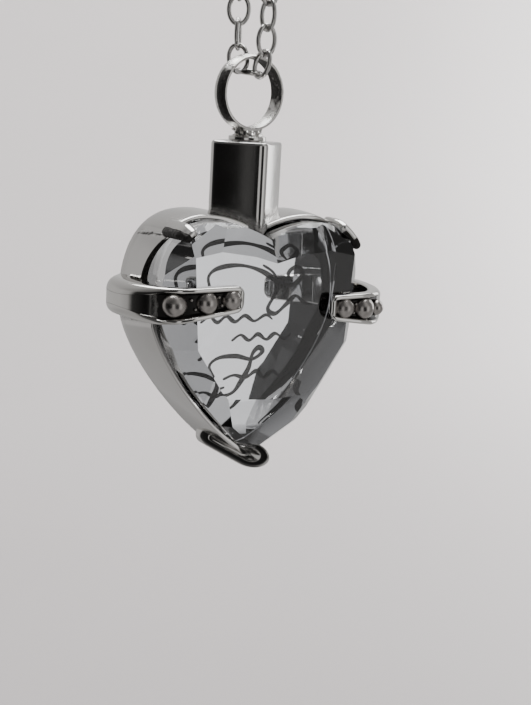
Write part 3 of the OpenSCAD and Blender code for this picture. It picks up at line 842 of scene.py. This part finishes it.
def bail_steel():
    """Brushed along the band, heat-tinted brown and gold round the weld, and painted dark for reflection on
    the band's front and inside.
    """
    tint = (0.64, 0.63, 0.61)
    material = polished_steel("bail_steel", tint, 0.1)
    tree = material.node_tree
    normal = tree.nodes["Principled BSDF"].inputs["Normal"]
    drawn = add(tree, "ShaderNodeVectorMath", {0: painted(tree, "band", "Vector"), 1: (3, 12, 1)},
                operation="MULTIPLY").outputs["Vector"]
    lines = add(tree, "ShaderNodeTexNoise", {"Vector": drawn, "Scale": 1.0, "Detail": 3}).outputs["Fac"]
    brushed = add(tree, "ShaderNodeBump", {"Height": lines, "Strength": 0.7, "Distance": 8e-5,
                                           "Normal": normal.links[0].from_socket})
    tree.links.new(brushed.outputs["Normal"], normal)
    heat = maths(tree, "MULTIPLY", noise(tree, 1900, 4), painted(tree, "heat"))
    temper = ramped(tree, heat, [(0.12, tint), (0.3, (0.9, 0.68, 0.32)), (0.42, (0.7, 0.45, 0.14)),
                                 (0.52, (0.32, 0.17, 0.07)), (0.62, (0.06, 0.045, 0.035))])
    tree.links.new(temper, tree.nodes["painted_dark"].inputs["A"])
    return material


def heat_at(z):
    """Heat tint of the band at a height, strongest at the weld."""
    return max(0.0, 1.05 - abs(z - SEAT_Z - HEAD_T - 0.3) / HEAT_SPREAD)


BAND_EDGE = 0.13
BAND_CROWN = 0.15
HEAT_SPREAD = 2.0
band_side = RING_W / 2 - BAND_EDGE
band_outer = RING_R - BAND_CROWN
band_inner = RING_R - RING_T
band_section = []
for quarter, (middle_r, middle_y) in enumerate((
        (band_outer - BAND_EDGE, band_side), (band_inner + BAND_EDGE, band_side),
        (band_inner + BAND_EDGE, -band_side), (band_outer - BAND_EDGE, -band_side))):
    for k in range(5):
        a = math.radians(90 * quarter + 22.5 * k)
        band_section.append((middle_r + BAND_EDGE * math.cos(a), middle_y + BAND_EDGE * math.sin(a)))
band_section += [(RING_R - BAND_CROWN * (k / 4) ** 2, k / 4 * band_side) for k in range(-3, 4)]

plug = bmesh.new()
layers = plug.verts.layers
for holder, name in ((layers.float_vector, "band"), (layers.float, "heat"), (layers.float, "marks_and_painted_dark")):
    holder.new(name)
band_layer, heat_layer, painted_reflection_layer = layers.float_vector["band"], layers.float["heat"], layers.float["marks_and_painted_dark"]
band_angles = circle(160)
band_rings = [[turned(r * math.cos(a), y, RING_Z + r * math.sin(a)) for r, y in band_section]
              for a in band_angles]
for a, loop in zip(band_angles, skin(plug, band_rings, hoop=True)):
    for vert, (r, y) in zip(loop, band_section):
        height = r * math.sin(a)
        vert[band_layer] = (a / (2 * math.pi), y, r)
        vert[heat_layer] = heat_at(RING_Z + height)
        # Painted dark reflection: the inside of the band, darker towards its top, and the front of its outer
        # face, fading towards the back and the top, are painted dark in colour
        if r < band_inner + 0.03:
            vert[painted_reflection_layer] = 0.8 * within((height + 2.8) / 2.6)
        elif r > band_outer - 0.06 and y > -0.9:
            low_end = max(0.35, within((height + 3.6) / 1.2))
            vert[painted_reflection_layer] = within((0.5 - y) / 0.4) * within((3.0 - height) / 1.3) * low_end

# The weld: a lumpy collar between disc and band, from heights over the disc and radii
weld_rings = []
for rise, r in ((-0.1, 1.25), (0.02, 1.42), (0.14, 1.3), (0.28, 1.2), (0.42, 1.22), (0.56, 1.32),
                (0.68, 1.42), (0.76, 1.3), (0.8, 0.9)):
    z = HEAD_T + rise
    ring = []
    for a in circle(72):
        lumpy = (r + 0.1 * math.sin(5 * a + 7 * z) + 0.06 * math.sin(11 * a - 9 * z + 1)
                 + 0.04 * math.sin(23 * a + 17 * z))
        flat = min(1.0, 0.98 / max(abs(math.sin(a)) * lumpy, 0.1)) if rise > 0.5 else 1
        ring.append(turned(lumpy * math.cos(a) * 1.1, lumpy * math.sin(a) * flat, SEAT_Z + z))
    weld_rings.append(ring)

disc_rings = []
for r, z in ((CREST_R - THREAD_D, -0.02), (HEAD_R - 0.08, 0.0), (HEAD_R - 0.02, 0.02), (HEAD_R, 0.08),
             (HEAD_R, HEAD_T - 0.1), (HEAD_R - 0.03, HEAD_T - 0.03), (HEAD_R - 0.1, HEAD_T),
             (1.3, HEAD_T + 0.01)):
    disc_rings.append([turned(r * math.cos(a), r * math.sin(a), SEAT_Z + z) for a in circle(72)])
for rings, heat in ((weld_rings, 1.0), (disc_rings, 0.35)):
    for loop in skin(plug, rings):
        for vert in loop:
            vert[heat_layer] = heat

# The shank with one helical thread
SHANK_STEP = 0.05
shank_rings = []
steps = int(SHANK_L / SHANK_STEP)
for i in range(steps + 1):
    z = SHANK_L * i / steps - SHANK_L
    fade = within((z + SHANK_L) / 0.3) * within((-0.25 - z) / 0.2)
    ring = []
    for a in circle(64):
        phase = (z / THREAD_PITCH - a / (2 * math.pi)) % 1
        r = CREST_R - THREAD_D + THREAD_D * within(1.6 - 3.2 * abs(phase - 0.5)) * fade
        ring.append(turned(r * math.cos(a), r * math.sin(a), SEAT_Z + z))
    shank_rings.append(ring)
skin(plug, shank_rings)
screw_plug = new_piece("bail_ring_and_screw_plug", plug, bail_steel(), sharp=38)
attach(screw_plug, "plug")
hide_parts("bail_plug")

# Cable chain. Oval links of round steel wire, each turned a quarter against the next and passed
# through it before its ends are welded. The whole loop hangs from its top and carries the ring.

LINK_L = 3.35
LINK_W = 2.5
WIRE = 0.48
PITCH = 2.391
STRAND_OFF = 2.35
LOOP_HALF_W = 8.0
LOOP_H = 220.0
HANG_GAP = 0.45
CHAIN_W = 2.4
CLASP_R = 3.0
CLASP_WIRE = 1.4
CLASP_DROP = 24.0
PIVOT_Z = RING_Z + RING_R - RING_T - HANG_GAP - CHAIN_W / 2
LOOP_TOP = PIVOT_Z + LOOP_H
RISE = LOOP_H - STRAND_OFF - LOOP_HALF_W


def strand(h, side):
    """A point of one strand: across from the ring's middle plane, and its height."""
    return side * (STRAND_OFF + (LOOP_HALF_W - STRAND_OFF) * h), PIVOT_Z + STRAND_OFF + RISE * h


CLASP_H = 1 - (CLASP_DROP - LOOP_HALF_W) / RISE
CLASP_Y, CLASP_Z = strand(CLASP_H, 1)
end_gap = (CLASP_R - CLASP_WIRE + 0.35) / RISE
route = [strand(CLASP_H + end_gap + (1 - CLASP_H - end_gap) * i / 6, 1) for i in range(6)]
for i in range(41):
    a = math.pi * i / 40
    route.append((LOOP_HALF_W * math.cos(a), LOOP_TOP - LOOP_HALF_W + LOOP_HALF_W * math.sin(a)))
route += [strand(1 - i / 40, -1) for i in range(1, 40)]
for i in range(31):
    a = math.pi + math.pi * i / 30
    route.append((STRAND_OFF * math.cos(a), PIVOT_Z + STRAND_OFF + (STRAND_OFF - 0.3) * math.sin(a)))
past_ring = len(route) - 1
route += [strand((CLASP_H - end_gap) * i / 40, 1) for i in range(1, 41)]
length = sum(math.dist(a, b) for a, b in zip(route, route[1:]))
LINKS = round((length - LINK_L + WIRE) / PITCH) + 1


def twist(i):
    """How far the links are turned about the route at one of its points: one strand hangs twisted."""
    return math.radians(45) * within((i - past_ring + 12) / 12) * within((past_ring + 30 - i) / 12)


route_mesh = bpy.data.meshes.new("cable_chain")
route_mesh.from_pydata([turned(0, y, z) for y, z in route], [(i, i + 1) for i in range(len(route) - 1)], [])
twists = route_mesh.attributes.new("twist", "FLOAT", "POINT")
twists.data.foreach_set("value", [twist(i) for i in range(len(route))])
chain = bpy.data.objects.new("cable_chain", route_mesh)
bpy.context.scene.collection.objects.link(chain)
link_steel = polished_steel("chain_steel", (0.5, 0.49, 0.48), 0.12)

tree = bpy.data.node_groups.new("chain_links", "GeometryNodeTree")
values = {"Links": LINKS, "Link length": LINK_L * MM, "Link width": LINK_W * MM, "Wire radius": WIRE / 2 * MM}
tree.interface.new_socket("Route", in_out="INPUT", socket_type="NodeSocketGeometry")
sockets = {}
for name in values:
    kind = "NodeSocketInt" if name == "Links" else "NodeSocketFloat"
    sockets[name] = tree.interface.new_socket(name, in_out="INPUT", socket_type=kind).identifier
tree.interface.new_socket("Chain", in_out="OUTPUT", socket_type="NodeSocketGeometry")


def step(kind, output, values=(), **settings):
    """One step of the chain's making, and what comes out of it."""
    return add(tree, "GeometryNode" + kind, values, **settings).outputs[output]


given = add(tree, "NodeGroupInput").outputs
curve = step("MeshToCurve", "Curve", {"Mesh": given["Route"]})
turns = step("InputNamedAttribute", "Attribute", {"Name": "twist"}, data_type="FLOAT")
tilted = step("SetCurveTilt", "Curve", {"Curve": curve, "Tilt": turns})
places = add(tree, "GeometryNodeCurveToPoints", {"Curve": tilted, "Count": given["Links"]}).outputs
middle_l, middle_w = (maths(tree, "MULTIPLY_ADD", given["Wire radius"], -2, given["Link " + way])
                      for way in ("length", "width"))
oval_size = add(tree, "ShaderNodeCombineXYZ", {"X": middle_l, "Y": middle_w, "Z": 1.0}).outputs["Vector"]
round_line = step("CurvePrimitiveCircle", "Curve", {"Resolution": 26, "Radius": 0.5})
oval = step("Transform", "Geometry", {"Geometry": round_line, "Scale": oval_size})
wire = step("CurvePrimitiveCircle", "Curve", {"Resolution": 8, "Radius": given["Wire radius"]})
link = step("CurveToMesh", "Mesh", {"Curve": oval, "Profile Curve": wire})
upright = step("Transform", "Geometry", {"Geometry": link, "Rotation": (0, math.radians(90), 0)})
odd = maths(tree, "MODULO", step("InputIndex", "Index"), 2)
quarter = maths(tree, "MULTIPLY", odd, math.radians(90))
quarter = add(tree, "ShaderNodeCombineXYZ", {"Z": quarter}).outputs["Vector"]
quarter = add(tree, "FunctionNodeEulerToRotation", {"Euler": quarter}).outputs["Rotation"]
turn = add(tree, "FunctionNodeRotateRotation", {"Rotation": places["Rotation"], "Rotate By": quarter},
           rotation_space="LOCAL").outputs["Rotation"]
copies = step("InstanceOnPoints", "Instances",
              {"Points": places["Points"], "Instance": upright, "Rotation": turn})
loose = step("RealizeInstances", "Geometry", {"Geometry": copies})
rounded = step("SetShadeSmooth", "Geometry", {"Geometry": loose})
all_links = step("SetMaterial", "Geometry", {"Geometry": rounded, "Material": link_steel})
add(tree, "NodeGroupOutput", {"Chain": all_links})
maker = chain.modifiers.new("links", "NODES")
maker.node_group = tree
for name, value in values.items():
    maker[sockets[name]] = value
links_made = bpy.data.meshes.new_from_object(chain.evaluated_get(bpy.context.evaluated_depsgraph_get()))
chain.modifiers.clear()
chain.data = links_made
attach(chain, "chain")
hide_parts("chain")

# Clasp ring. A plain closed ring of thicker steel wire joins the chain's two ends near the top of
# the back strand, where a real clasp would sit. It is bent round, welded and polished.

clasp_mesh = bmesh.new()
wire_r = CLASP_WIRE / 2
clasp_rings = []
for a in circle(96):
    ring = []
    for q in circle(24):
        r = CLASP_R - wire_r + wire_r * math.cos(q)
        ring.append(turned(wire_r * math.sin(q), CLASP_Y + r * math.cos(a), CLASP_Z + r * math.sin(a)))
    clasp_rings.append(ring)
skin(clasp_mesh, clasp_rings, hoop=True)
clasp = new_piece("clasp_ring", clasp_mesh, link_steel, sharp=60)
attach(clasp, "chain")
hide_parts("clasp")

# Studio: a pale floor and backdrop whose colour and glow are painted light, a large soft light above and
# behind, a smaller one at the right, and dark stretches of the world all round that give polished steel and
# glass their black reflections.

FLOOR_DROP = 0.075
FLOOR_HALF_W = 1.4
FLOOR_TURN = 0.35
middle = at(0, 3, -5)
sweep_line = [(-0.9, 0.0), (0.25, 0.0)]
for k in range(1, 16):
    a = math.radians(6 * k)
    sweep_line.append((0.25 + FLOOR_TURN * math.sin(a), FLOOR_TURN * (1 - math.cos(a))))
sweep_line.append((0.6, 1.2))
floor_mesh = bmesh.new()
sides = [[floor_mesh.verts.new((x, middle.y + y, middle.z - FLOOR_DROP + z)) for y, z in sweep_line]
         for x in (-FLOOR_HALF_W, FLOOR_HALF_W)]
for a, b, c, d in zip(sides[0], sides[1], sides[1][1:], sides[0][1:]):
    floor_mesh.faces.new((a, b, c, d))
paper, tree, shader = tree_of("studio_paper")


def distance_along(way):
    """How far a place on the paper lies along a direction."""
    place = add(tree, "ShaderNodeTexCoord").outputs["Object"]
    return add(tree, "ShaderNodeVectorMath", {0: place, 1: way}, operation="DOT_PRODUCT").outputs["Value"]


shader.inputs["Roughness"].default_value = 0.9
shader.inputs["Emission Color"].default_value = (1, 0.985, 0.975, 1)
# Painted light: the paper's colour grows lighter towards the upper right and its glow grows towards the
# right, in place of a lamp's fall-off
mottled_painted_gradient = maths(tree, "MULTIPLY_ADD", noise(tree, 7), 0.06, distance_along((0.816, 0.234, 0.3)))
shades = ramped(tree, ranged(tree, mottled_painted_gradient, -0.07, 0.5),
                [(0.0, (0.42, 0.395, 0.395)), (1.0, (0.88, 0.835, 0.83))])
painted_glow = ranged(tree, distance_along((0.875, -0.485, 0)), 0.0, 0.3, 0.0, 1.5, interpolation_type="SMOOTHSTEP")
tree.links.new(shades, shader.inputs["Base Color"])
tree.links.new(painted_glow, shader.inputs["Emission Strength"])
floor = new_piece("studio_floor", floor_mesh, paper, sharp=80)
floor.visible_glossy = False
floor.visible_transmission = False

TO_LEFT = math.radians(-29.0)
LOOK_DOWN = math.radians(11.7)
ROLL = math.radians(3.1)
DISTANCE = 124.8
AIM_Z = -8.26
SENSOR_MM = 36
PICTURE_H_PX = 705
FOCAL_PX = 1249
back = Vector((math.sin(TO_LEFT) * math.cos(LOOK_DOWN), -math.cos(TO_LEFT) * math.cos(LOOK_DOWN),
               math.sin(LOOK_DOWN)))
right = Vector((math.cos(TO_LEFT), math.sin(TO_LEFT), 0))
up = back.cross(right)
axes = (right * math.cos(ROLL) + up * math.sin(ROLL), up * math.cos(ROLL) - right * math.sin(ROLL), back)
lens = bpy.data.cameras.new("camera")
lens.sensor_fit = "VERTICAL"
lens.sensor_height = SENSOR_MM
lens.lens = FOCAL_PX / PICTURE_H_PX * SENSOR_MM
lens.clip_start = 0.01
camera = bpy.data.objects.new("camera", lens)
camera.matrix_world = (Matrix.Translation(at(0, 0, AIM_Z) + back * DISTANCE * MM)
                       @ Matrix(axes).transposed().to_4x4())
bpy.context.scene.collection.objects.link(camera)
bpy.context.scene.camera = camera


def soft_light(name, place, width, height, power):
    lamp = bpy.data.lights.new(name, "AREA")
    lamp.shape = "RECTANGLE"
    lamp.size = width
    lamp.size_y = height
    lamp.energy = power
    light = bpy.data.objects.new(name, lamp)
    light.location = place
    light.rotation_mode = "QUATERNION"
    light.rotation_quaternion = (middle - Vector(place)).to_track_quat("-Z", "Y")
    bpy.context.scene.collection.objects.link(light)


soft_light("key_from_above", (0.1, 0.22, middle.z + 0.6), 0.6, 0.6, 9)
soft_light("side_from_right", (0.6, 0.15, middle.z + 0.15), 0.3, 0.5, 1.2)
# What the steel and glass see all round: pale walls, black cards beside and before the pendant.
# Each line of tones runs once round from the back over the left, the front and the right
ROUND = [(-180, 0.6), (-150, 0.62), (-128, 0.6), (-114, 0.45), (-107, 0.03), (-70, 0.008), (-62, 0.01),
         (-61, 0.1), (-59, 0.09), (-57, 0.012), (-49, 0.012), (-42, 0.7), (-24, 0.7), (-17, 0.03), (4, 0.02),
         (13, 0.04), (19, 1.05), (37, 1.05), (44, 0.5), (62, 0.4), (95, 0.4), (115, 0.65), (150, 0.8),
         (165, 0.62), (180, 0.6)]
ABOVE = [(-180, 0.62), (-140, 0.5), (-100, 0.2), (-65, 0.1), (-40, 0.12), (-12, 0.25), (5, 0.6), (30, 0.6),
         (45, 0.3), (85, 0.3), (110, 0.6), (140, 0.75), (180, 0.62)]
BELOW = [(-180, 0.5), (-112, 0.42), (-102, 0.1), (-78, 0.08), (-64, 0.4), (-20, 0.6), (20, 0.45), (60, 0.5),
         (100, 0.6), (140, 0.5), (160, 0.25), (180, 0.45)]
studio = bpy.data.worlds.new("studio")
studio.use_nodes = True
bpy.context.scene.world = studio
tree = studio.node_tree
sky = tree.nodes["Background"]
facing = add(tree, "ShaderNodeTexCoord").outputs["Generated"]
view = add(tree, "ShaderNodeSeparateXYZ", {"Vector": facing}).outputs
bearing = maths(tree, "ARCTAN2", view["X"], maths(tree, "MULTIPLY", view["Y"], -1))
round_share = ranged(tree, bearing, -math.pi, math.pi)


def tones_round(stops):
    return ramped(tree, round_share, [((degrees + 180) / 360, (tone, tone * 0.985, tone * 0.975))
                                      for degrees, tone in stops])


def blended(low, high, first, last):
    """One line of tones into another between two heights, given as sines of elevation."""
    return mixed(tree, ranged(tree, view["Z"], first, last, interpolation_type="SMOOTHSTEP"), low, high)


seen = blended(blended(tones_round(BELOW), tones_round(ROUND), -0.5, -0.3), tones_round(ABOVE), 0.2, 0.42)
in_picture = add(tree, "ShaderNodeLightPath").outputs["Is Camera Ray"]
tree.links.new(mixed(tree, in_picture, seen, (0.6, 0.59, 0.59, 1)), sky.inputs["Color"])
sky.inputs["Strength"].default_value = 1.0
